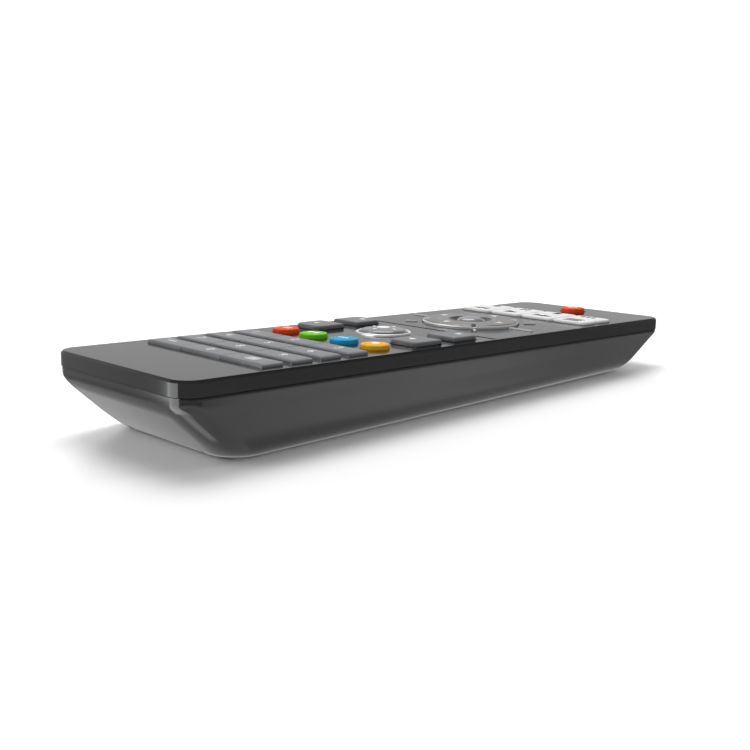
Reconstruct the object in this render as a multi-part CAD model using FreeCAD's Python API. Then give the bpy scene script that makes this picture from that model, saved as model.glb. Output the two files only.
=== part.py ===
import FreeCAD, Part
import math
import os

# Television remote control lying on its back on a table.
# World frame: +Z up, +Y towards the infrared end, +X to the user's right.
# The origin is on the table under the middle of the top face. Millimetres.
os.makedirs("parts", exist_ok=True)
V = FreeCAD.Vector

# Driving sizes of the body
WIDTH = 50.0
LENGTH = 166.0
TILT = 1.645
TOP_HEIGHT = 16.5
SKIRT = 3.33
PLATE = 1.3
WALL = 1.5
CORNER = 4.7
BEVEL = 0.525

# Heights measured from the top face, along its normal
TRAVEL = 0.5
FLANGE_TOP = -1.33
FLANGE_LOW = -1.80
MAT_TOP = -2.32
MAT_LOW = -2.80
BOARD_LOW = -3.60

# Key layout on the top face, x across and y along the body
half_w = WIDTH / 2
half_l = LENGTH / 2
ROW_FRONT = -0.3726 * LENGTH
ROW_PITCH = 0.04777 * LENGTH
ROW_DEPTH = 5.6
ROW_LEFT = -half_w + 3.85
ROW_RIGHT = half_w - 3.2
SEAM_X = 0.148 * WIDTH
SEAM = 0.16
DIGIT_HIGH = 0.8
END_ROUND = (1.1, 0.74)
SEAM_ROUND = (0.85, 0.16)
EDGE_ROUND = (0.45, 0.38)
FIT = 0.15
COLOUR_Y = -0.1518 * LENGTH
COLOUR_X = [-0.319 * WIDTH, -0.1063 * WIDTH, 0.113 * WIDTH, 0.322 * WIDTH]
COLOUR_R = 3.35
COLOUR_HIGH = 1.1
ARROW_X = half_w - 7.95
ARROW_W = 9.3
ARROW_L = 9.1
ARROW_GAP = 4.5
ARROW_SHIFT = {-1: 0.2, 1: 0.08}
PAD_Y = -0.041 * LENGTH
PAD_R = 5.75
RING_IN = PAD_R + 0.45
RING_OUT = PAD_R + 1.2
DISC_Y = 0.1584 * LENGTH
DISC_R = 12.97
DISH_R = 6.0
GROOVE_Y = 0.0488 * LENGTH
BAR_HIGH = 0.36
WHITE_Y = 0.2855 * LENGTH
WHITE_L = 6.5
WHITE_PITCH = 0.223 * WIDTH
WHITE_W = WHITE_PITCH - 0.24
WHITE_ROW = WHITE_L + 0.25
POWER_X = 0.42
POWER_Y = half_l - 10.3
POWER_R = 3.48
LED_Y = half_l - 5.7
LED_N = -2.9

# Screw posts, x and y on the top face
POST_X = half_w - 8.0
POST_NEAR = ROW_FRONT - 4.65
POST_FAR = WHITE_Y + WHITE_ROW + WHITE_L + 4.35
POSTS = [(-POST_X, POST_NEAR), (POST_X, POST_NEAR), (-POST_X, POST_FAR), (POST_X, POST_FAR)]
SPLIT = -7.0
HEAD_SEAT = -10.5

# Battery bay, world heights: the cells fill what is left between the floor and the board
FLOOR = 1.6
CELL_LENGTH = 44.5
BAY_NEAR = -half_l + 21.5
BAY_FAR = BAY_NEAR + CELL_LENGTH + 6.9
slope = math.tan(math.radians(TILT))
under_board = TOP_HEIGHT + BOARD_LOW / math.cos(math.radians(TILT)) - (BAY_FAR + 1.1) * slope
BAY_TOP = under_board - 0.857
CELL_R = (BAY_TOP - FLOOR - 0.2) / 2
CELL_Z = FLOOR + 0.2 + CELL_R
CELL_X = CELL_R + 0.25
BAY_X = CELL_X + CELL_R + 0.65
DOOR_X = BAY_X + 2.1
DOOR_FAR = BAY_FAR + 2.1
DOOR_THICK = FLOOR - 0.1


def on_panel(shape):
    # Move a shape from top-face coordinates to the world frame
    s = shape.copy()
    s.rotate(V(0, 0, 0), V(1, 0, 0), -TILT)
    s.translate(V(0, 0, TOP_HEIGHT))
    return s


def box(x0, x1, y0, y1, z0, z1):
    return Part.makeBox(x1 - x0, y1 - y0, z1 - z0, V(x0, y0, z0))


def rod(x, y, r, z0, z1):
    return Part.makeCylinder(r, z1 - z0, V(x, y, z0))


def outline(x0, x1, y0, y1, radii, z=0.0):
    # Closed wire of a rectangle; radii run from the near left corner anticlockwise
    q = math.sqrt(0.5)
    corners = [(x0, y0, 1, 1), (x1, y0, -1, 1), (x1, y1, -1, -1), (x0, y1, 1, -1)]
    edges = []
    ends = []
    for i, (cx, cy, sx, sy) in enumerate(corners):
        r = radii[i]
        m = V(cx + sx * r, cy + sy * r, z)
        a = V(cx, cy + sy * r, z)
        b = V(cx + sx * r, cy, z)
        if i % 2 == 1:
            a, b = b, a
        mid = V(m.x - sx * r * q, m.y - sy * r * q, z)
        ends.append((a, mid, b))
    for i in range(4):
        a, mid, b = ends[i]
        edges.append(Part.Arc(a, mid, b).toShape())
        edges.append(Part.makeLine(b, ends[(i + 1) % 4][0]))
    return Part.Wire(edges)


def slab(x0, x1, y0, y1, r, z0, z1):
    radii = r if isinstance(r, (list, tuple)) else [r] * 4
    face = Part.Face(outline(x0, x1, y0, y1, radii, z0))
    return face.extrude(V(0, 0, z1 - z0))


def rounded(u0, u1, z0, z1, start, end):
    # Profile in the u-z plane whose upper corners are quarter ellipses (run, rise)
    run0, rise0 = start
    run1, rise1 = end
    q = math.pi / 2
    a = Part.ArcOfEllipse(Part.Ellipse(V(u0 + run0, z1 - rise0, 0), run0, rise0), q, 2 * q).toShape()
    b = Part.ArcOfEllipse(Part.Ellipse(V(u1 - run1, z1 - rise1, 0), run1, rise1), 0, q).toShape()
    rest = Part.makePolygon([V(u0, z1 - rise0, 0), V(u0, z0, 0), V(u1, z0, 0), V(u1, z1 - rise1, 0)])
    flat = Part.makeLine(V(u0 + run0, z1, 0), V(u1 - run1, z1, 0))
    return Part.Face(Part.Wire(Part.__sortEdges__(rest.Edges + [a, b, flat])))


def top_edges(shape, z):
    found = []
    for e in shape.Edges:
        if all(abs(v.Z - z) < 1e-6 for v in e.Vertexes):
            b = e.BoundBox
            if b.ZMax - b.ZMin < 1e-6:
                found.append(e)
    return found


def turned(points, x=0.0, y=0.0):
    # Solid of revolution about the normal through (x, y); arcs are (mid, end) pairs
    edges = []
    last = V(points[0][0], 0, points[0][1])
    first = last
    for p in points[1:]:
        if isinstance(p[0], tuple):
            mid = V(p[0][0], 0, p[0][1])
            end = V(p[1][0], 0, p[1][1])
            edges.append(Part.Arc(last, mid, end).toShape())
        else:
            end = V(p[0], 0, p[1])
            edges.append(Part.makeLine(last, end))
        last = end
    edges.append(Part.makeLine(last, first))
    body = Part.Face(Part.Wire(edges)).revolve(V(0, 0, 0), V(0, 0, 1), 360)
    if not isinstance(body, Part.Solid) and body.Solids:
        body = body.Solids[0]
    body.translate(V(x, y, 0))
    return body


def dome(r, low, high):
    # Mid and end point of a cap arc whose centre is on the axis of revolution
    big = (r * r + (high - low) ** 2) / (2 * (high - low))
    half = math.asin(r / big) / 2
    return ((big * math.sin(half), high - big + big * math.cos(half)), (0, high))


def save(name, shape):
    s = shape.removeSplitter()
    if len(s.Solids) == 1:
        s = s.Solids[0]
    s.exportStep("parts/" + name + ".step")


# Upper case: flat slab with a skirt, open below
upper = slab(-half_w, half_w, -half_l, half_l, CORNER, -SKIRT, 0)
upper = upper.makeChamfer(BEVEL, top_edges(upper, 0))
upper = upper.cut(slab(-half_w + WALL, half_w - WALL, -half_l + WALL, half_l - WALL,
                       CORNER - WALL, -SKIRT - 1, -PLATE))

cuts = []
for row in range(4):
    y = ROW_FRONT + ROW_PITCH * row
    cuts.append(slab(ROW_LEFT - FIT, ROW_RIGHT + FIT, y - FIT, y + ROW_DEPTH + FIT, 0.7, -2, 1))
for i in range(4):
    cuts.append(rod(COLOUR_X[i], COLOUR_Y, COLOUR_R + 0.15, -2, 1))
arrow_spots = []
for sx in (-1, 1):
    for sy in (-1, 1):
        cy = PAD_Y + ARROW_SHIFT[sy] + sy * (ARROW_GAP + ARROW_L) / 2
        arrow_spots.append((sx, sy, sx * ARROW_X + ARROW_SHIFT[sy], cy))


def arrow_radii(sy, r_out, r_in):
    return [r_out, r_out, r_in, r_in] if sy < 0 else [r_in, r_in, r_out, r_out]


for sx, sy, cx, cy in arrow_spots:
    cuts.append(slab(cx - ARROW_W / 2 - 0.3, cx + ARROW_W / 2 + 0.3, cy - ARROW_L / 2 - 0.3,
                     cy + ARROW_L / 2 + 0.3, arrow_radii(sy, 2.5, 0.8), -2, 1))
cuts.append(rod(0, PAD_Y, PAD_R + 0.2, -2, 1))
cuts.append(rod(0, PAD_Y, RING_OUT, -0.3, 1).cut(rod(0, PAD_Y, RING_IN, -1, 2)))
cuts.append(rod(0, DISC_Y, DISC_R + 0.25, -2, 1))
white_x0 = -2 * WHITE_PITCH
white_x1 = 2 * WHITE_PITCH
cuts.append(slab(white_x0 - 0.1, white_x1 + 0.1, WHITE_Y - FIT, WHITE_Y + WHITE_ROW + WHITE_L + FIT,
                 1.6, -0.6, 1))
for row in range(2):
    y = WHITE_Y + WHITE_ROW * row
    cuts.append(slab(white_x0 + 0.2, white_x1 - 0.2, y + 0.2, y + WHITE_L - 0.2, 1.0, -2, 0))
cuts.append(rod(POWER_X, POWER_Y, POWER_R + 0.45, -2, 1))
cuts.append(box(1.1 - WIDTH / 2, WIDTH / 2 - 1.1, GROOVE_Y - 0.5, GROOVE_Y + 0.5, -0.5, 1))
cuts.append(box(-6, 6, half_l - 3, half_l + 1, -SKIRT - 1, -1.2))
upper = upper.cut(cuts)

# Raised bars beside the disc and the four short marks around it
ribs = []
for sx in (-1, 1):
    x0, x1 = sorted((sx * (DISC_R + 0.5), sx * (half_w - 3.8)))
    bar = slab(x0, x1, DISC_Y - 0.55, DISC_Y + 0.35, 0.44, -0.4, BAR_HIGH)
    ribs.append(bar.makeChamfer(0.2, top_edges(bar, BAR_HIGH)))
for k in range(4):
    mark = slab(DISC_R + 1.45, DISC_R + 4.65, -0.4, 0.4, 0.25, -0.4, BAR_HIGH)
    mark = mark.makeChamfer(0.15, top_edges(mark, BAR_HIGH))
    mark.rotate(V(0, 0, 0), V(0, 0, 1), 45 + 90 * k)
    mark.translate(V(0, DISC_Y, 0))
    ribs.append(mark)
for x, y in POSTS:
    ribs.append(rod(x, y, 2.4, SPLIT, -PLATE + 0.3))
upper = upper.fuse(ribs)
upper = upper.cut([rod(x, y, 1.0, SPLIT - 1, -2.6) for x, y in POSTS])
save("upper_case", on_panel(upper))

# Bright ring round the middle key, seated in a shallow groove
ring = turned([(RING_IN, -0.3), (RING_IN, 0.28), (((RING_IN + RING_OUT) / 2, 0.55), (RING_OUT, 0.28)),
               (RING_OUT, -0.3)], 0, PAD_Y)
save("pad_ring", on_panel(ring))

# Dark window in the far skirt and its light source
save("ir_window", on_panel(box(-5.98, 5.98, half_l - WALL - 0.3, half_l - 0.03, -SKIRT + 0.02, -1.22)))
led = Part.makeCylinder(1.35, 1.1, V(0, LED_Y + 0.6, LED_N), V(0, 1, 0))
led = led.fuse(Part.makeSphere(1.35, V(0, LED_Y + 1.7, LED_N)))
led = led.fuse(Part.makeCylinder(1.5, 0.7, V(0, LED_Y, LED_N), V(0, 1, 0)))
for x in (-1.2, 0.8):
    led = led.fuse(box(x, x + 0.4, LED_Y - 5.8, LED_Y + 0.3, BOARD_LOW - 0.4, BOARD_LOW))
save("ir_led", on_panel(led))

# Number keys: four rows of three that share one slot per row
ROW_NAMES = [
    ["key_left_of_zero", "key_digit_0", "key_right_of_zero"],
    ["key_digit_7", "key_digit_8", "key_digit_9"],
    ["key_digit_4", "key_digit_5", "key_digit_6"],
    ["key_digit_1", "key_digit_2", "key_digit_3"],
]
col_edges = [ROW_LEFT, -SEAM_X, SEAM_X, ROW_RIGHT]
for row in range(4):
    y0 = ROW_FRONT + ROW_PITCH * row
    y1 = y0 + ROW_DEPTH
    for col in range(3):
        x0 = col_edges[col] + (SEAM / 2 if col > 0 else 0)
        x1 = col_edges[col + 1] - (SEAM / 2 if col < 2 else 0)
        left = 0.6 if col == 0 else 0.05
        right = 0.6 if col == 2 else 0.05
        cap = slab(x0, x1, y0, y1, [left, right, right, left], FLANGE_LOW, DIGIT_HIGH)
        across = rounded(x0, x1, FLANGE_LOW - 1, DIGIT_HIGH, END_ROUND if col == 0 else SEAM_ROUND,
                         END_ROUND if col == 2 else SEAM_ROUND).extrude(V(0, 0, LENGTH))
        across.rotate(V(0, 0, 0), V(1, 0, 0), 90)
        across.translate(V(0, half_l, 0))
        along = rounded(y0, y1, FLANGE_LOW - 1, DIGIT_HIGH, EDGE_ROUND, EDGE_ROUND).extrude(V(0, 0, WIDTH))
        along.rotate(V(0, 0, 0), V(1, 0, 0), 90)
        along.rotate(V(0, 0, 0), V(0, 0, 1), 90)
        along.translate(V(-half_w, 0, 0))
        cap = cap.common(across).common(along)
        foot = box(x0 + 0.6, x1 - 0.6, y0 - 0.75, y1 + 0.75, FLANGE_LOW, FLANGE_TOP)
        save(ROW_NAMES[row][col], on_panel(cap.fuse(foot)))

# Four round coloured keys
for i, name in enumerate(["key_red", "key_green", "key_blue", "key_yellow"]):
    r = COLOUR_R
    h = COLOUR_HIGH
    key = turned([(0, FLANGE_LOW), (r + 0.6, FLANGE_LOW), (r + 0.6, FLANGE_TOP), (r, FLANGE_TOP),
                  (r, h - 0.45), ((r - 0.12, h - 0.2), (r - 0.42, h - 0.1)), dome(r - 0.42, h - 0.1, h)],
                 COLOUR_X[i], COLOUR_Y)
    save(name, on_panel(key))

# Four arrow keys: broad caps on narrower stems
ARROW_NAMES = {(-1, -1): "arrow_left_near", (-1, 1): "arrow_left_far",
               (1, -1): "arrow_right_near", (1, 1): "arrow_right_far"}
for sx, sy, cx, cy in arrow_spots:
    w = ARROW_W / 2
    l = ARROW_L / 2
    cap = slab(cx - w, cx + w, cy - l, cy + l, arrow_radii(sy, 2.2, 0.5), 0.18, 1.12)
    cap = cap.makeChamfer(0.28, top_edges(cap, 1.12))
    stem = slab(cx - w + 0.5, cx + w - 0.5, cy - l + 0.5, cy + l - 0.5, 0.6, FLANGE_LOW, 0.3)
    rest = half_w - 2.5 - ARROW_X - ARROW_SHIFT[sy] - w
    out = rest if sx > 0 else 0.8
    left = 0.8 if sx > 0 else rest
    foot = slab(cx - w - left, cx + w + out, cy - l - 0.8, cy + l + 0.8, 1.0, FLANGE_LOW, FLANGE_TOP)
    save(ARROW_NAMES[(sx, sy)], on_panel(cap.fuse([stem, foot])))

# Domed key inside the bright ring
pad = turned([(0, FLANGE_LOW), (PAD_R + 0.8, FLANGE_LOW), (PAD_R + 0.8, FLANGE_TOP), (PAD_R, FLANGE_TOP),
              (PAD_R, 0.3), ((PAD_R - 0.2, 0.82), (PAD_R - 0.75, 1.1)), dome(PAD_R - 0.75, 1.1, 1.42)], 0, PAD_Y)
save("round_key", on_panel(pad))

# Steering disc: wide ring with a dish, four rim notches and a hole for the centre key
hub = DISH_R - 1.9
disc = turned([(hub + 1.9, -1.0), (hub + 1.9, -2.25), (DISC_R + 0.95, -2.25), (DISC_R + 0.95, -1.8),
               (DISC_R - 0.2, -1.8), (DISC_R - 0.2, 0.08), ((DISC_R - 0.05, 0.22), (DISC_R, 0.45)),
               ((DISC_R - 0.16, 0.88), (DISC_R - 0.7, 1.07)), ((DISH_R + 3.0, 1.16), (DISH_R + 0.25, 1.13)),
               ((DISH_R + 0.08, 1.09), (DISH_R, 1.0)), ((hub + 1.15, 0.24), (hub, -0.15)), (hub, -1.0)],
              0, DISC_Y)
for k in range(4):
    notch = box(DISC_R - 1.95, DISC_R + 2, -0.65, 0.65, 0.35, 2)
    notch.rotate(V(0, 0, 0), V(0, 0, 1), 45 + 90 * k)
    notch.translate(V(0, DISC_Y, 0))
    disc = disc.cut(notch)
save("steering_disc", on_panel(disc))
r = hub - 0.3
centre = turned([(0, -1.75), (r + 1.4, -1.75), (r + 1.4, -1.25), (r, -1.25), (r, 0.4),
                 ((r - 0.45, 1.1), (r - 1.6, 1.52)), dome(r - 1.6, 1.52, 1.8)], 0, DISC_Y)
save("centre_key", on_panel(centre))

# Eight white keys in two rows
for row in range(2):
    for col in range(4):
        x0 = white_x0 + WHITE_PITCH * col + (WHITE_PITCH - WHITE_W) / 2
        y0 = WHITE_Y + WHITE_ROW * row
        cap = slab(x0, x0 + WHITE_W, y0, y0 + WHITE_L, 1.5, 0.1, 0.85)
        cap = cap.makeFillet(0.55, top_edges(cap, 0.85))
        stem = slab(x0 + 0.45, x0 + WHITE_W - 0.45, y0 + 0.45, y0 + WHITE_L - 0.45, 1.0, FLANGE_LOW, 0.3)
        near = 0.7 if row == 0 else -0.1
        far = 0.7 if row == 1 else -0.1
        foot = box(x0 + 0.6, x0 + WHITE_W - 0.6, y0 - near, y0 + WHITE_L + far, FLANGE_LOW, FLANGE_TOP)
        save("white_key_%d" % (row * 4 + col + 1), on_panel(cap.fuse([stem, foot])))

# Red power key in a wide round hole
r = POWER_R
power = turned([(0, FLANGE_LOW), (r + 0.9, FLANGE_LOW), (r + 0.9, FLANGE_TOP), (r, FLANGE_TOP),
                (r, 0.75), ((r - 0.13, 1.02), (r - 0.45, 1.14)), dome(r - 0.45, 1.14, 1.25)], POWER_X, POWER_Y)
save("power_key", on_panel(power))

# Rubber keypad sheet and the circuit board under it
mat = slab(-half_w + 2.8, half_w - 2.8, ROW_FRONT - 1.55, half_l - 5.0, 3.0, MAT_LOW, MAT_TOP)
holes = [rod(0, DISC_Y, DISC_R + 1.55, -5, 0)] + [rod(x, y, 2.8, -5, 0) for x, y in POSTS[2:]]
mat = mat.cut(holes + [box(-2.1, 2.1, LED_Y - 0.2, half_l, -5, 0)])
save("keypad_mat", on_panel(mat))
board = slab(-half_w + 3.0, half_w - 3.0, ROW_FRONT - 1.35, half_l - 6.0, 2.0, BOARD_LOW, MAT_LOW)
board = board.cut([rod(x, y, 2.7, -5, 0) for x, y in POSTS[2:]])
save("circuit_board", on_panel(board))
chip = box(-5, 5, DISC_Y + 3.7, DISC_Y + 11.2, BOARD_LOW - 1.5, BOARD_LOW)
legs = []
for i in range(10):
    x = -4.6 + i * 0.99
    legs.append(box(x, x + 0.4, DISC_Y + 2.6, DISC_Y + 12.3, BOARD_LOW - 0.5, BOARD_LOW))
save("controller_chip", on_panel(chip.fuse(legs)))
save("ceramic_resonator", on_panel(slab(8, 13, DISC_Y + 4.7, DISC_Y + 7.7, 1.0, BOARD_LOW - 2.2, BOARD_LOW)))
can = Part.makeCylinder(2.5, 8.0, V(-half_w + 11, DISC_Y + 7.7, BOARD_LOW - 2.5), V(0, 1, 0))
save("storage_capacitor", on_panel(can))


# Lower case: boat-shaped shell under the parting plane
STEP = 0.15
LIP = 0.4
NEAR = (1.55, 4.3, math.radians(46.4), 6.7)
FAR = (0.57, 0.5, math.radians(59.4), 16.5)
SIDE = (0.3, 0.5, math.radians(3.2), 5.1)
CORNER_TOP = 4.4
CORNER_BAND = 0.11
CORNER_BEND = 0.3
CORNER_NEAR = 6.7
CORNER_FLOOR = 7.1
CORNER_FAR = 4.4
z_split = TOP_HEIGHT - SKIRT / math.cos(math.radians(TILT))
depth_near = z_split + half_l * slope
depth_far = z_split - half_l * slope


def wall_inset(d, full, shape):
    # How far a wall has moved inwards at depth d: band, bend, slope, bottom bend
    band, soft, angle, turn = shape
    d = max(0.0, min(d, full))
    bend = band + soft * math.sin(angle)
    low = full - turn * (1 - math.sin(angle))
    if d <= band:
        return STEP
    if d <= bend:
        b = math.asin((d - band) / soft)
        return STEP + soft * (1 - math.cos(b))
    start = STEP + soft * (1 - math.cos(angle))
    if d <= low:
        return start + (d - bend) * math.tan(angle)
    b = math.asin(min(1.0, (d - low) / turn + math.sin(angle)))
    return start + (low - bend) * math.tan(angle) + turn * (math.cos(angle) - math.cos(b))


def rim_inset(d):
    # Rounding of the shell's upper edge, which leaves a fine groove under the slab
    if d >= LIP:
        return 0.0
    return LIP - math.sqrt(LIP * LIP - (LIP - d) ** 2)


def near_radius(u):
    # Corner radius of the near end: close to the slab's at the top, then fuller
    if u <= CORNER_BEND:
        t = max(0.0, (u - CORNER_BAND) / (CORNER_BEND - CORNER_BAND))
        return CORNER_TOP + (CORNER_NEAR - CORNER_TOP) * t * t * (3 - 2 * t)
    return CORNER_NEAR + (CORNER_FLOOR - CORNER_NEAR) * (u - CORNER_BEND) / (1 - CORNER_BEND)


def section(s, inner=False):
    # Outline of the shell at fraction s of the way from the parting plane to the table
    u = max(s, 0.0)
    more = 1.0 if inner else 0.0
    rim = 1.7 if inner else rim_inset(u * z_split)
    near = wall_inset(u * depth_near + more, depth_near, NEAR) + rim
    far = wall_inset(u * depth_far + more, depth_far, FAR) + rim
    side = wall_inset(u * z_split, z_split, SIDE) + rim
    rn = near_radius(u) - rim
    rf = CORNER + (CORNER_FAR - CORNER) * u - rim
    w = outline(-half_w + side, half_w - side, -half_l + near, half_l - far, [rn, rn, rf, rf])
    w.rotate(V(0, 0, 0), V(1, 0, 0), -math.degrees(math.atan((1 - s) * slope)))
    w.translate(V(0, 0, (1 - s) * z_split))
    return w


LEVELS = [0, 0.008, 0.018, 0.031, 0.055, 0.08, 0.11, 0.14, 0.17, 0.2, 0.23, 0.26, 0.29, 0.32, 0.4, 0.48, 0.56,
          0.63, 0.7, 0.76, 0.82, 0.87, 0.91, 0.945, 0.97, 0.99, 1.0]
outer = Part.makeLoft([section(s) for s in LEVELS], True, True)
inner = Part.makeLoft([section(s, True) for s in [-0.12] + LEVELS[:-4]], True, True)
below = box(-WIDTH, WIDTH, -LENGTH, LENGTH, -1, FLOOR)
lower = outer.cut(inner).fuse(outer.common(below))

# Locating lip inside the skirt of the upper case
lip = slab(-half_w + WALL + 0.1, half_w - WALL - 0.1, -half_l + WALL + 0.1, half_l - WALL - 0.1,
           CORNER - WALL - 0.1, -SKIRT - 1.5, -SKIRT + 0.9)
lip = lip.cut(slab(-half_w + WALL + 0.8, half_w - WALL - 0.8, -half_l + WALL + 0.8, half_l - WALL - 0.8,
                   CORNER - WALL - 0.8, -SKIRT - 3, 1))
lip = lip.cut(box(-6.4, 6.4, half_l - 8, half_l, -SKIRT, 1))

# Screw posts and the battery bay block
posts = []
for x, y in POSTS:
    posts.append(on_panel(rod(x, y, 2.9, -24, SPLIT)).common(outer))
bay = box(-BAY_X - 1.1, BAY_X + 1.1, BAY_NEAR - 1.1, BAY_FAR + 1.1, 0, BAY_TOP + 0.7)
shelf = box(-DOOR_X - 2.1, DOOR_X + 2.1, -LENGTH, DOOR_FAR + 1.5, FLOOR - 0.5, FLOOR + 1.0).common(outer)
lower = lower.fuse([on_panel(lip), bay, shelf] + posts)

# Door plate: the part of the shell bottom between two ledges
door_zone = box(-DOOR_X, DOOR_X, -LENGTH, DOOR_FAR, -1, DOOR_THICK)
door = outer.common(door_zone)
tongues = []
for sx in (-1, 1):
    x0, x1 = sorted((sx * (DOOR_X - 1), sx * (DOOR_X + 0.8)))
    tongues.append(box(x0, x1, BAY_NEAR - 4.5, DOOR_FAR - 2, 0.85, DOOR_THICK))
grips = [box(-6, 6, BAY_NEAR - 1 + 1.8 * k, BAY_NEAR - 0.2 + 1.8 * k, -1, 0.3) for k in range(5)]
door = door.fuse(tongues).cut(grips)
save("battery_door", door)

hollow = [box(-BAY_X, BAY_X, BAY_NEAR, BAY_FAR, -1, BAY_TOP)]
hollow.append(box(-DOOR_X - 0.15, DOOR_X + 0.15, -LENGTH, DOOR_FAR + 0.15, -1, DOOR_THICK + 0.1))
hollow.append(box(-DOOR_X - 0.95, DOOR_X + 0.95, -LENGTH, DOOR_FAR + 0.15, 0.75, DOOR_THICK + 0.1))
for x in (-CELL_X, CELL_X):
    hollow.append(box(x - 1.1, x + 1.1, BAY_FAR - 0.45, BAY_FAR + 0.01, BAY_TOP - 1, BAY_TOP + 2))
hollow.append(box(-1.1, 1.1, BAY_NEAR - 0.01, BAY_NEAR + 0.45, BAY_TOP - 1, BAY_TOP + 2))
for x, y in POSTS:
    hollow.append(on_panel(rod(x, y, 1.2, HEAD_SEAT - 1, 0)))
    hollow.append(on_panel(rod(x, y, 2.2, -26, HEAD_SEAT)))
lower = lower.cut(hollow)
save("lower_case", lower)

# Case screws: one node, four alike
screws = []
for x, y in POSTS:
    one = rod(x, y, 0.98, HEAD_SEAT - 0.2, -3.2).fuse(rod(x, y, 1.9, HEAD_SEAT - 1.4, HEAD_SEAT))
    one = one.cut([box(x - 1.2, x + 1.2, y - 0.22, y + 0.22, HEAD_SEAT - 1.5, HEAD_SEAT - 0.7),
                   box(x - 0.22, x + 0.22, y - 1.2, y + 1.2, HEAD_SEAT - 1.5, HEAD_SEAT - 0.7)])
    screws.append(on_panel(one))
Part.makeCompound(screws).exportStep("parts/case_screws.step")

# Two cells lying side by side, opposite ways round
for name, sx in (("battery_a", -1), ("battery_b", 1)):
    far_nub = sx < 0
    y_nub = BAY_FAR - 0.4 if far_nub else BAY_NEAR + 0.4
    way = -1 if far_nub else 1
    can = Part.makeCylinder(CELL_R, CELL_LENGTH - 1.2, V(sx * CELL_X, y_nub + way * 1.2, CELL_Z), V(0, way, 0))
    can = can.makeFillet(0.5, [e for e in can.Edges if e.BoundBox.YMax - e.BoundBox.YMin < 1e-6])
    nub = Part.makeCylinder(1.9, 1.3, V(sx * CELL_X, y_nub, CELL_Z), V(0, way, 0))
    save(name, can.fuse(nub))

# Contact plates and coil springs of the bay
half_plate = CELL_R - 0.65
PLATE_LOW = CELL_Z - half_plate
PLATE_HIGH = CELL_Z + half_plate


def contact(x0, x1, y0, y1, tab_x):
    plate = box(x0, x1, y0, y1, PLATE_LOW, PLATE_HIGH)
    return plate.fuse(box(tab_x - 1, tab_x + 1, y0, y1, PLATE_HIGH - 0.5, BAY_TOP + 0.7))


save("contact_link", contact(-BAY_X + 1, BAY_X - 1, BAY_NEAR + 0.02, BAY_NEAR + 0.4, 0))
save("contact_positive", contact(-CELL_X - half_plate, -CELL_X + half_plate, BAY_FAR - 0.4, BAY_FAR - 0.02, -CELL_X))
save("contact_negative", contact(CELL_X - half_plate, CELL_X + half_plate, BAY_FAR - 0.4, BAY_FAR - 0.02, CELL_X))
WIRE = 0.3
COIL_R = 3.2
for name, x, y, way in (("spring_a", -CELL_X, BAY_NEAR + 0.4, 1), ("spring_b", CELL_X, BAY_FAR - 0.4, -1)):
    free = (BAY_FAR - BAY_NEAR - 0.8) - CELL_LENGTH
    pitch = (free - 2 * WIRE) / 3.0
    coil = Part.makeHelix(pitch, pitch * 3.0, COIL_R)
    disk = Part.Wire([Part.makeCircle(WIRE, V(COIL_R, 0, 0), V(0, 1, 0))])
    wire = Part.Wire(coil).makePipeShell([disk], True, True)
    wire.translate(V(0, 0, WIRE))
    wire.rotate(V(0, 0, 0), V(1, 0, 0), -90 * way)
    wire.translate(V(x, y, CELL_Z))
    wire.exportStep("parts/" + name + ".step")
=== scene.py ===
import math
import bmesh
import bpy
from mathutils import Matrix, Vector


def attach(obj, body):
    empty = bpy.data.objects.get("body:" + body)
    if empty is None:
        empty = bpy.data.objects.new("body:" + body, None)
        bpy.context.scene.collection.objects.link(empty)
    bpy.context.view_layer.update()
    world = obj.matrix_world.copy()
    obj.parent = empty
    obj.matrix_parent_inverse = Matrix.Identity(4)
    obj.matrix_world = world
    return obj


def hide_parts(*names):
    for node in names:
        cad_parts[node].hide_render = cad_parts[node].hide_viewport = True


# Television remote control: looks, light and camera
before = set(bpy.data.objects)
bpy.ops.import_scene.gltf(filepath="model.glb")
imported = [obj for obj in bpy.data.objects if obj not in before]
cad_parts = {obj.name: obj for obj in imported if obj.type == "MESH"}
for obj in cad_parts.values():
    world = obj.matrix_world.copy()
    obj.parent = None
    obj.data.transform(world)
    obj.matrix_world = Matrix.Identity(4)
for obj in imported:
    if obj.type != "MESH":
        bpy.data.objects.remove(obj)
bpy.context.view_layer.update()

# Top face: x across, y along the body, n along the face's normal, all in millimetres
TILT = math.radians(1.645)
TOP_HEIGHT = 16.5
PANEL = (Matrix.Scale(0.001, 4) @ Matrix.Translation((0, 0, TOP_HEIGHT))
         @ Matrix.Rotation(-TILT, 4, "X"))
to_panel = PANEL.inverted()


def reach_of(node):
    # A solid's lowest and highest x, y and n
    points = [to_panel @ v.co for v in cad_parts[node].data.vertices]
    low = Vector([min(p[k] for p in points) for k in range(3)])
    high = Vector([max(p[k] for p in points) for k in range(3)])
    return low, high


def seat(node):
    # Middle of a solid's outline on the top face, at the solid's highest point
    low, high = reach_of(node)
    return Vector(((low.x + high.x) / 2, (low.y + high.y) / 2, high.z))


def add(name, data):
    obj = bpy.data.objects.new(name, data)
    bpy.context.scene.collection.objects.link(obj)
    return obj


# Materials
PLASTIC_IOR = 1.5


def material(name, colour, rough, metal=0.0, coat=0.0, coat_rough=0.1, specular=0.5):
    look = bpy.data.materials.new(name)
    look.use_nodes = True
    shader = look.node_tree.nodes["Principled BSDF"]
    shader.inputs["Base Color"].default_value = (*colour, 1.0)
    shader.inputs["Roughness"].default_value = rough
    shader.inputs["Metallic"].default_value = metal
    shader.inputs["IOR"].default_value = PLASTIC_IOR
    shader.inputs["Specular IOR Level"].default_value = specular
    shader.inputs["Coat Weight"].default_value = coat
    shader.inputs["Coat Roughness"].default_value = coat_rough
    return look


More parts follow.
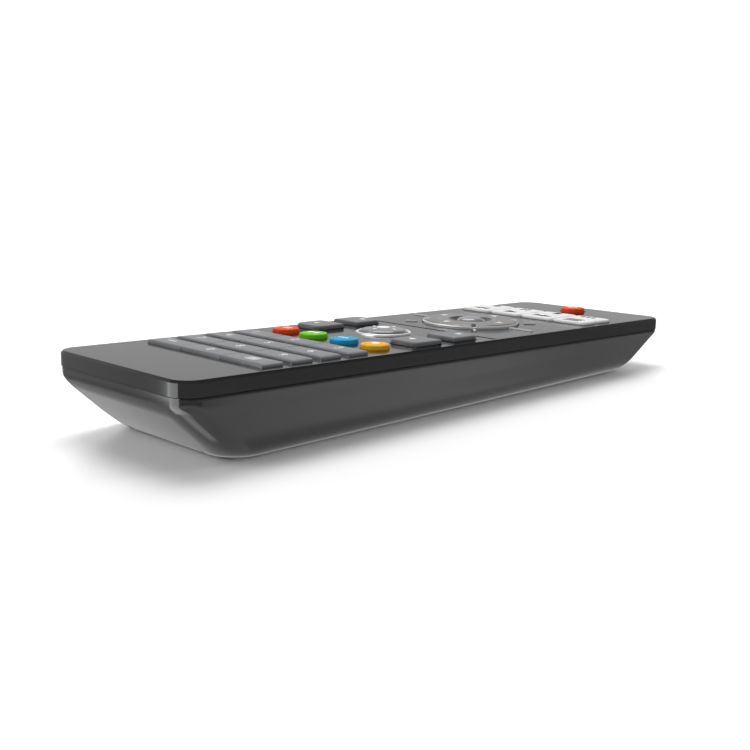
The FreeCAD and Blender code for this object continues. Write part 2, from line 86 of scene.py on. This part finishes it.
def tinted(name, colour):
    # Coloured key plastic: dull, under a thin satin coat
    return material(name, colour, 0.4, coat=0.35, coat_rough=0.2, specular=0)


LOOKS = {
    "panel": material("panel_gloss", (0.01, 0.01, 0.0105), 0.09),
    "shell": material("shell_gloss", (0.014, 0.014, 0.0145), 0.14),
    "grey": material("key_grey", (0.13, 0.135, 0.143), 0.3, specular=0.7),
    "arrow": material("key_dark_grey", (0.105, 0.109, 0.115), 0.29, specular=0.7),
    "disc": material("disc_grey", (0.125, 0.117, 0.108), 0.3, specular=0.9),
    "centre": material("centre_blue_grey", (0.2, 0.215, 0.235), 0.14, specular=0.9),
    "pad": material("pad_grey", (0.16, 0.165, 0.172), 0.17, specular=1.0),
    "ring": material("ring_bright", (0.72, 0.72, 0.73), 0.3, metal=0.35),
    "bar": material("bar_grey", (0.36, 0.36, 0.355), 0.35),
    # Near-black matte for the walls of the slab's wells and groove: painted shade, darker than the
    # panel's own gloss black
    "well": material("well_painted_shade", (0.004, 0.004, 0.004), 0.8, specular=0.1),
    "dish": material("dish_gloss", (0.1, 0.1, 0.1), 0.15, specular=1.0),
    # Near-white disc wall: a painted highlight on the disc's rim, over the disc's own grey
    "rim": material("disc_rim_painted_highlight", (0.8, 0.81, 0.83), 0.35, metal=0.2),
    "red": tinted("key_red", (0.72, 0.06, 0.008)),
    "green": tinted("key_green", (0.14, 0.5, 0.006)),
    "blue": tinted("key_blue", (0.01, 0.3, 0.54)),
    "yellow": tinted("key_yellow", (0.72, 0.37, 0.012)),
    "white": material("key_white", (0.66, 0.66, 0.66), 0.35),
    "ink_white": material("ink_white", (0.85, 0.85, 0.84), 0.4),
    "ink_dark": material("ink_dark", (0.02, 0.02, 0.022), 0.9, specular=0),
    "window": material("window_dark_red", (0.02, 0.002, 0.003), 0.05),
    "clear": material("clear_resin", (0.6, 0.65, 0.75), 0.08),
    "rubber": material("rubber_grey", (0.25, 0.25, 0.25), 0.7),
    "board": material("board_green", (0.02, 0.12, 0.04), 0.35),
    "chip": material("chip_black", (0.015, 0.015, 0.016), 0.5),
    "resin": material("resin_orange", (0.5, 0.14, 0.02), 0.3),
    "can": material("can_aluminium", (0.75, 0.75, 0.77), 0.25, metal=1.0),
    "cell": material("cell_wrap", (0.03, 0.045, 0.08), 0.25),
    "steel": material("steel_plated", (0.65, 0.65, 0.66), 0.25, metal=1.0),
}

# Skins that stand in for the solids. Points nearer than MERGE, in metres, become one, and so do
# faces that meet at less than FLAT. Edges that turn by more than CREASE stay sharp
MERGE = 2e-6
FLAT = math.radians(0.3)
CREASE = math.radians(32)


def dress(node, look, body):
    # A cleaned copy of the solid's mesh, smooth up to its creases
    bm = bmesh.new()
    bm.from_mesh(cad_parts[node].data)
    bmesh.ops.remove_doubles(bm, verts=bm.verts[:], dist=MERGE)
    bmesh.ops.dissolve_limit(bm, angle_limit=FLAT, verts=bm.verts[:], edges=bm.edges[:])
    mesh = bpy.data.meshes.new("skin_" + node)
    bm.to_mesh(mesh)
    bm.free()
    for name in ("custom_normal", "sharp_face"):
        if name in mesh.attributes:
            mesh.attributes.remove(mesh.attributes[name])
    for poly in mesh.polygons:
        poly.use_smooth = True
    mesh.set_sharp_from_angle(angle=CREASE)
    mesh.materials.clear()
    mesh.materials.append(LOOKS[look])
    obj = add("skin_" + node, mesh)
    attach(obj, body)
    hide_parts(node)
    return mesh


# Case and what stays in it: node, look, slot
slab_skin = dress("upper_case", "panel", "case")
CASE = [
    ("lower_case", "shell", "shell"),
    ("pad_ring", "ring", "ring"),
    ("ir_window", "window", "window"),
    ("ir_led", "clear", "clear"),
    ("keypad_mat", "rubber", "mat"),
    ("circuit_board", "board", "board"),
    ("controller_chip", "chip", "chip"),
    ("ceramic_resonator", "resin", "resonator"),
    ("storage_capacitor", "can", "capacitor"),
    ("battery_a", "cell", "cell"),
    ("battery_b", "cell", "cell"),
    ("spring_a", "steel", "steel"),
    ("spring_b", "steel", "steel"),
    ("contact_link", "steel", "steel"),
    ("contact_positive", "steel", "steel"),
    ("contact_negative", "steel", "steel"),
    ("case_screws", "steel", "steel"),
]
for node, look, slot in CASE:
    dress(node, look, "case")
dress("battery_door", "shell", "door")

# Slab: raised bars round the disc are light grey; the walls of the wells and the groove are
# near-black matte, painted shade in those recesses.
# A bar's faces lie over BAR_LOW and rise past BAR_RISE, a wall's sink past WELL_SINK
BAR_LOW = -0.01
BAR_RISE = 0.02
BAR_REACH = 20
WELL_SINK = -0.02
WELL_LOW = -2.0
WELL_TO_SIDE = 0.7
WELL_TO_END = 7.0
disc_seat = seat("steering_disc")
slab_high = reach_of("upper_case")[1]
well_x = slab_high.x - WELL_TO_SIDE
well_y = slab_high.y - WELL_TO_END
slab_skin.materials.append(LOOKS["bar"])
slab_skin.materials.append(LOOKS["well"])
# Bar faces take the light grey look; faces that sink into the wells and groove take the painted shade
for poly in slab_skin.polygons:
    points = [to_panel @ slab_skin.vertices[v].co for v in poly.vertices]
    low = min(p.z for p in points)
    high = max(p.z for p in points)
    middle = sum(points, Vector()) / len(points)
    if low > BAR_LOW and high > BAR_RISE and abs(middle.y - disc_seat.y) < BAR_REACH:
        poly.material_index = 1
    elif low < WELL_SINK and high > WELL_LOW and abs(middle.x) < well_x and abs(middle.y) < well_y:
        poly.material_index = 2

# Steering disc: its outer wall, up to RIM_HIGH, is painted near-white as a painted highlight, and its
# dish glossy
RIM_REACH = 12.2
RIM_HIGH = 0.8
DISH_REACH = 6.6
disc_skin = dress("steering_disc", "disc", "disc")
disc_skin.materials.append(LOOKS["rim"])
disc_skin.materials.append(LOOKS["dish"])
for poly in disc_skin.polygons:
    middle = to_panel @ poly.center
    reach = math.hypot(middle.x - disc_seat.x, middle.y - disc_seat.y)
    if reach > RIM_REACH and middle.z < RIM_HIGH:
        poly.material_index = 1
    elif reach < DISH_REACH:
        poly.material_index = 2

# Keys, each on its own body: node, look, slot
ROWS = [["key_left_of_zero", "key_digit_0", "key_right_of_zero"],
        ["key_digit_7", "key_digit_8", "key_digit_9"],
        ["key_digit_4", "key_digit_5", "key_digit_6"],
        ["key_digit_1", "key_digit_2", "key_digit_3"]]
KEYS = [("centre_key", "centre", "centre"),
        ("round_key", "pad", "grey_key"),
        ("power_key", "red", "red")]
KEYS += [("key_" + name, name, name) for name in ("red", "green", "blue", "yellow")]
KEYS += [("arrow_%s_%s" % (side, end), "arrow", "arrow_key")
         for side in ("left", "right") for end in ("near", "far")]
KEYS += [("white_key_%d" % (k + 1), "white", "white_key") for k in range(8)]
KEYS += [(node, "grey", "grey_key") for row in ROWS for node in row]
for node, look, slot in KEYS:
    dress(node, look, node)

# Printed marks: thin solids that stand a hair above their key
MARK_RISE = 0.02
MARK_SINK = 0.12
DIGIT_TALL = 2.3
DIGIT_WIDEN = 1.1
DIGIT_THICK = 0.015
DIGIT_LIFT = 0.002
DIGIT_SHARE = 0.729
DIGIT_STEPS = 6
DIGIT_MERGE = 1e-4
DOT_SIDES = 20
SMALL_DOT_SIDES = 12
BAND_STEPS = 14


def place(obj, body, ink):
    obj.data.transform(PANEL)
    obj.data.materials.clear()
    obj.data.materials.append(LOOKS[ink])
    for poly in obj.data.polygons:
        poly.use_smooth = False
    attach(obj, body)


def digit(text, node, shift):
    # Numeral centred on its own outline, whose height is a fixed share of the font's size
    curve = bpy.data.curves.new("digit_curve", "FONT")
    curve.body = text
    curve.size = DIGIT_TALL / DIGIT_SHARE
    curve.extrude = DIGIT_THICK
    curve.resolution_u = DIGIT_STEPS
    holder = add("digit_holder", curve)
    bpy.context.view_layer.update()
    graph = bpy.context.evaluated_depsgraph_get()
    mesh = bpy.data.meshes.new_from_object(holder.evaluated_get(graph))
    bpy.data.objects.remove(holder)
    bm = bmesh.new()
    bm.from_mesh(mesh)
    bmesh.ops.remove_doubles(bm, verts=bm.verts[:], dist=DIGIT_MERGE)
    bm.to_mesh(mesh)
    bm.free()
    xs = [v.co.x for v in mesh.vertices]
    ys = [v.co.y for v in mesh.vertices]
    middle = Vector(((min(xs) + max(xs)) / 2, (min(ys) + max(ys)) / 2, 0))
    target = seat(node) + Vector((*shift, DIGIT_LIFT))
    mesh.transform(Matrix.Translation(target) @ Matrix.Diagonal((DIGIT_WIDEN, 1, 1, 1))
                   @ Matrix.Translation(-middle))
    place(add("mark_digit_" + text, mesh), node, "ink_white")


def mark(name, node, outlines, shift=(0, 0), drop=0, ink="ink_white", body=None):
    # Raised prisms, one per outline: a list of (x, y) points, anticlockwise, from the node's middle.
    # A key's mark rides on the body that has the key's name
    target = seat(node) + Vector((*shift, -drop))
    bm = bmesh.new()
    for points in outlines:
        low = [bm.verts.new((target.x + x, target.y + y, target.z - MARK_SINK)) for x, y in points]
        top = [bm.verts.new((target.x + x, target.y + y, target.z + MARK_RISE)) for x, y in points]
        bm.faces.new(top)
        bm.faces.new(low[::-1])
        for k in range(len(points)):
            bm.faces.new((low[k - 1], low[k], top[k], top[k - 1]))
    mesh = bpy.data.meshes.new("mark_" + name)
    bm.to_mesh(mesh)
    bm.free()
    place(add("mark_" + name, mesh), body or node, ink)


def spot(x, y, rx, ry, count=DOT_SIDES):
    angles = [2 * math.pi * k / count for k in range(count)]
    return [(x + rx * math.cos(a), y + ry * math.sin(a)) for a in angles]


def bar(x, y, wide, deep):
    return [(x - wide / 2, y - deep / 2), (x + wide / 2, y - deep / 2),
            (x + wide / 2, y + deep / 2), (x - wide / 2, y + deep / 2)]


ARROW_CORNERS = ((0, 1.0), (130, 0.9), (230, 0.9))


def arrow(x, y, size, turn):
    # Triangle whose tip points at the angle turn, in degrees from the x axis
    corners = [(math.radians(angle + turn), size * reach) for angle, reach in ARROW_CORNERS]
    return [(x + reach * math.cos(a), y + reach * math.sin(a)) for a, reach in corners]


def three_dots(step, rx, ry):
    return [spot(step * k, 0, rx, ry, SMALL_DOT_SIDES) for k in (-1, 0, 1)]


def three_bars(step, wide, deep):
    return [bar(0, step * k, wide, deep) for k in (-1, 0, 1)]


def arc_band(inner, outer, start, end):
    angles = [math.radians(start + (end - start) * k / BAND_STEPS) for k in range(BAND_STEPS + 1)]
    return ([(outer * math.cos(a), outer * math.sin(a)) for a in angles]
            + [(inner * math.cos(a), inner * math.sin(a)) for a in reversed(angles)])


def four_arrows(prefix, node, out, size, shift, drop, body=None):
    # Arrows that point away from the middle of a round key
    for name, turn in (("right", 0), ("far", 90), ("left", 180), ("near", 270)):
        a = math.radians(turn)
        outline = arrow(out * math.cos(a), out * math.sin(a), size, turn)
        mark(prefix + name, node, [outline], shift, drop, body=body)


# Number keys: plain digits, with three dots and three bars beside the zero. The shifts count from
# a key's middle, one x for each column
DIGIT_X = (-0.985, -0.3, 0.16)
DIGIT_Y = 0.252
SIGN_Y = 0.202
for row in ROWS:
    for column, node in enumerate(row):
        if "digit" in node:
            digit(node[-1], node, (DIGIT_X[column], DIGIT_Y))
mark("left_of_zero", "key_left_of_zero", three_dots(1.2, 0.32, 0.5), (DIGIT_X[0], SIGN_Y))
mark("right_of_zero", "key_right_of_zero", three_bars(0.8, 3.4, 0.36), (DIGIT_X[2], SIGN_Y))

# Coloured keys: name, shift of the mark from the key's middle, outlines
COLOUR_MARKS = [
    ("red", (0.648, 0), [bar(0, y, 2.3, 0.55) for y in (-0.5, 0.5)]),
    ("green", (0.063, 0), [bar(x, 0, 0.9, 1.7) for x in (-1.05, 1.05)]),
    ("blue", (-0.352, 0.1), three_dots(1.15, 0.36, 0.5)),
    ("yellow", (0.048, 0.2), [spot(0, 0, 0.95, 0.95)]),
]
for name, shift, outlines in COLOUR_MARKS:
    mark(name, "key_" + name, outlines, shift)

# Arrow keys: node, shift of the mark, angle of its tip
ARROW_SIZE = 1.3
ARROW_MARKS = [
    ("arrow_left_near", (-1.55, 0.206), 180),
    ("arrow_right_near", (-0.85, 0.106), 180),
    ("arrow_left_far", (0.43, 1.426), 0),
    ("arrow_right_far", (0.41, 1.726), 0),
]
for node, shift, turn in ARROW_MARKS:
    mark(node, node, [arrow(0, 0, ARROW_SIZE, turn)], shift)

# Round middle key: a large dot between four arrows, which lie lower on its domed top
mark("round_key", "round_key", [spot(0, 0, 1.6, 1.7)], (-0.402, 0.406))
four_arrows("pad_", "round_key", out=3.45, size=0.8, shift=(-0.002, 0.306), drop=0.1)

# Steering disc: four arrows on its ridge
four_arrows("disc_", "steering_disc", out=9.9, size=1.35, shift=(0, 0.206), drop=0.012, body="disc")

# White keys in the order of their numbers: shift of the mark, outlines
WHITE_MARKS = [
    ((-0.025, 0.607), [arrow(x, 0, 1.9, 180) for x in (-1.25, 1.25)]),
    ((-0.325, 0.407), [arrow(0, 0, 2.6, 0)]),
    ((-0.075, 0.407), [arrow(x, 0, 2.1, 0) for x in (-1.3, 1.3)]),
    ((-0.125, 0.307), three_bars(1.5, 5.2, 0.8)),
    ((-0.275, 0.457), [spot(0, 0, 1.2, 1.4)]),
    ((-0.525, 0.457), [bar(x, 0, 0.9, 2.9) for x in (-0.9, 0.9)]),
    ((-0.075, 0.457), [bar(0, 0, 2.0, 2.4)]),
    ((-0.725, 0.657), three_dots(1.7, 0.55, 1.0)),
]
for k, (shift, outlines) in enumerate(WHITE_MARKS):
    node = "white_key_%d" % (k + 1)
    mark("white_%d" % (k + 1), node, outlines, shift, ink="ink_dark")

# Power key: an open ring with a bar in its gap
mark("power", "power_key", [arc_band(0.95, 1.3, 120, 420), bar(0, 1.1, 0.35, 1.3)])

# Floor, which gloss doesn't mirror, so that the case shows the studio's own soft tones
FLOOR_HALF = 0.45
FLOOR_DROP = 0.00002
floor_mesh = bpy.data.meshes.new("floor")
floor_corners = [(FLOOR_HALF * x, FLOOR_HALF * y, 0) for x, y in ((-1, -1), (1, -1), (1, 1), (-1, 1))]
floor_mesh.from_pydata(floor_corners, [], [(0, 1, 2, 3)])
floor_mesh.materials.append(material("floor_white", (0.93, 0.93, 0.93), 1.0, specular=0.0))
floor = add("floor", floor_mesh)
floor.location.z = -FLOOR_DROP
floor.visible_glossy = False

# Studio surround: pairs of height angle and brightness, one course for each direction
LEFT_TONES = [(-90, 0.58), (-50, 0.58), (-36, 0.6), (-30, 0.66), (-25.5, 0.76), (-23, 0.6),
              (-20, 0.42), (-15, 0.33), (-12, 0.55), (0, 0.5), (5, 0.53), (9, 0.6), (30, 0.6),
              (42, 0.3), (90, 0.3)]
FRONT_TONES = [(-90, 0.85), (-30, 1.1), (-27, 1.2), (-23, 1.2), (-20, 0.15), (-16.5, 0.2),
               (-14, 0.45), (-8, 0.45), (0, 0.35), (9, 0.2), (20, 0.12), (45, 0.12), (90, 0.3)]
BACK_TONES = [(-90, 0.5), (-45, 0.6), (-30, 0.85), (-22, 1.25), (-18, 1.45), (-15, 1.3),
              (-13, 0.38), (0, 0.3), (9, 0.2), (20, 0.12), (45, 0.12), (90, 0.3)]
FAR_TONES = [(-90, 0.3), (-40, 0.4), (-30, 0.55), (-12, 0.68), (-10, 0.25), (0, 0.22),
             (9, 0.2), (20, 0.12), (45, 0.12), (90, 0.3)]
TONE_SCALE = 1.6
# Where one course gives way to the next, by the direction's X or Y
LEFT_TO_RIGHT_X = (-0.25, 0.25)
FRONT_TO_BACK_Y = (0.44, 0.54)
BACK_TO_FAR_Y = (0.72, 0.84)
# Numbers of the sockets that share a name with others: those of a colour mix and a shader mix
MIX_FACTOR = 0
MIX_FIRST = 6
MIX_SECOND = 7
MIX_RESULT = 2
SHADER_FIRST = 1
SHADER_SECOND = 2

world = bpy.data.worlds.new("studio")
bpy.context.scene.world = world
world.use_nodes = True
nodes = world.node_tree.nodes
links = world.node_tree.links
direction = nodes.new("ShaderNodeTexCoord")
axes = nodes.new("ShaderNodeSeparateXYZ")
links.new(direction.outputs["Generated"], axes.inputs["Vector"])
# The direction's Z, from straight down to straight up, as a share from 0 to 1
height = nodes.new("ShaderNodeMapRange")
height.inputs["From Min"].default_value = -1
links.new(axes.outputs["Z"], height.inputs["Value"])


def tone_ramp(tones):
    ramp = nodes.new("ShaderNodeValToRGB")
    stops = ramp.color_ramp.elements
    for angle, tone in tones:
        if angle == -90:
            stop = stops[0]
        elif angle == 90:
            stop = stops[-1]
        else:
            stop = stops.new((math.sin(math.radians(angle)) + 1) / 2)
        stop.color = (tone / TONE_SCALE, tone / TONE_SCALE, tone / TONE_SCALE, 1)
    links.new(height.outputs["Result"], ramp.inputs["Fac"])
    return ramp.outputs["Color"]


def blend_tones(axis, limits, first, second):
    share = nodes.new("ShaderNodeMapRange")
    share.interpolation_type = "SMOOTHSTEP"
    share.inputs["From Min"].default_value = limits[0]
    share.inputs["From Max"].default_value = limits[1]
    links.new(axes.outputs[axis], share.inputs["Value"])
    mix = nodes.new("ShaderNodeMix")
    mix.data_type = "RGBA"
    links.new(share.outputs["Result"], mix.inputs[MIX_FACTOR])
    links.new(first, mix.inputs[MIX_FIRST])
    links.new(second, mix.inputs[MIX_SECOND])
    return mix.outputs[MIX_RESULT]


right = blend_tones("Y", FRONT_TO_BACK_Y, tone_ramp(FRONT_TONES), tone_ramp(BACK_TONES))
right = blend_tones("Y", BACK_TO_FAR_Y, right, tone_ramp(FAR_TONES))
around = blend_tones("X", LEFT_TO_RIGHT_X, tone_ramp(LEFT_TONES), right)
surround = nodes["Background"]
surround.inputs["Strength"].default_value = TONE_SCALE
links.new(around, surround.inputs["Color"])
# The camera itself sees plain white behind the floor
plain = nodes.new("ShaderNodeBackground")
plain.inputs["Color"].default_value = (1, 1, 1, 1)
seen = nodes.new("ShaderNodeLightPath")
blend = nodes.new("ShaderNodeMixShader")
links.new(seen.outputs["Is Camera Ray"], blend.inputs["Fac"])
links.new(surround.outputs["Background"], blend.inputs[SHADER_FIRST])
links.new(plain.outputs["Background"], blend.inputs[SHADER_SECOND])
links.new(blend.outputs["Shader"], nodes["World Output"].inputs["Surface"])


# Lights: one soft box, mirrored in gloss, and weak fills that gloss doesn't mirror
def area_light(name, azimuth, rise, distance, side, radiance):
    # Square light that faces the origin; azimuth and rise are its angles seen from there
    data = bpy.data.lights.new(name, "AREA")
    data.shape = "RECTANGLE"
    data.size = side
    data.size_y = side
    data.energy = radiance * math.pi * side * side
    obj = add(name, data)
    turn = math.radians(azimuth)
    up = math.radians(rise)
    way = Vector((math.cos(turn) * math.cos(up), math.sin(turn) * math.cos(up), math.sin(up)))
    obj.location = way * distance
    obj.rotation_euler = (-way).to_track_quat("-Z", "Y").to_euler()
    obj.visible_camera = False
    return obj


FILL_DISTANCE = 1.3
FILL_SIDE = 0.45
FILLS = [
    ("fill_front", -105, 38, 5.2),
    ("fill_right", -40, 25, 2.6),
    ("fill_far", 60, 25, 5.0),
    ("fill_left", 150, 14, 27.0),
    ("fill_low", -50, 11, 3.0),
]
area_light("main_box", azimuth=145, rise=67, distance=1.2, side=0.85, radiance=4.8)
for name, azimuth, rise, radiance in FILLS:
    fill = area_light(name, azimuth, rise, FILL_DISTANCE, FILL_SIDE, radiance)
    fill.visible_glossy = False


# White cards in front of the near end, seen only as a highlight on gloss
def glow(strength):
    look = bpy.data.materials.new("card_glow")
    look.use_nodes = True
    look.cycles.emission_sampling = "NONE"
    shader = look.node_tree.nodes["Principled BSDF"]
    shader.inputs["Emission Color"].default_value = (0.97, 0.985, 1.0, 1)
    shader.inputs["Emission Strength"].default_value = strength
    return look


# Upright cards, each under the last and wider, and dimmer from the second down, in metres:
# top, bottom, strength, left end (x, y), right end (x, y)
CARDS = [
    (0.4, -0.17, 3.2, (-0.4, -0.4), (0.066, -0.58)),
    (-0.17, -1.0, 3.6, (-0.45, -0.42), (0.03, -0.56)),
    (-1.0, -2.0, 2.8, (-0.8, -0.45), (0.0, -0.56)),
    (-2.0, -3.2, 2.0, (-1.0, -0.5), (-0.05, -0.56)),
    (-3.2, -6.0, 1.5, (-1.6, -0.5), (-0.1, -0.56)),
]
for k, (upper, lower, strength, left_end, right_end) in enumerate(CARDS):
    card_mesh = bpy.data.meshes.new("front_card")
    corners = [(*left_end, lower), (*right_end, lower), (*right_end, upper), (*left_end, upper)]
    card_mesh.from_pydata(corners, [], [(0, 1, 2, 3)])
    card_mesh.materials.append(glow(strength))
    card = add("front_card_%d" % (k + 1), card_mesh)
    card.visible_camera = False
    card.visible_diffuse = False
    card.visible_shadow = False

# Camera: its place in metres, and its turn to the left and tilt down in degrees
CAMERA_AT = (0.184805, -0.186833, 0.058708)
CAMERA_TURN = 46.219
CAMERA_DOWN = 11.564
LENS = 50
SENSOR = 36
CLIP = 0.005
camera_data = bpy.data.cameras.new("camera")
camera_data.lens = LENS
camera_data.sensor_width = SENSOR
camera_data.clip_start = CLIP
camera = add("camera", camera_data)
turn = math.radians(CAMERA_TURN)
down = math.radians(CAMERA_DOWN)
sight = Vector((-math.sin(turn) * math.cos(down), math.cos(turn) * math.cos(down), -math.sin(down)))
camera.location = CAMERA_AT
camera.rotation_euler = sight.to_track_quat("-Z", "Y").to_euler()
bpy.context.scene.camera = camera
bpy.context.scene.view_settings.view_transform = "Standard"
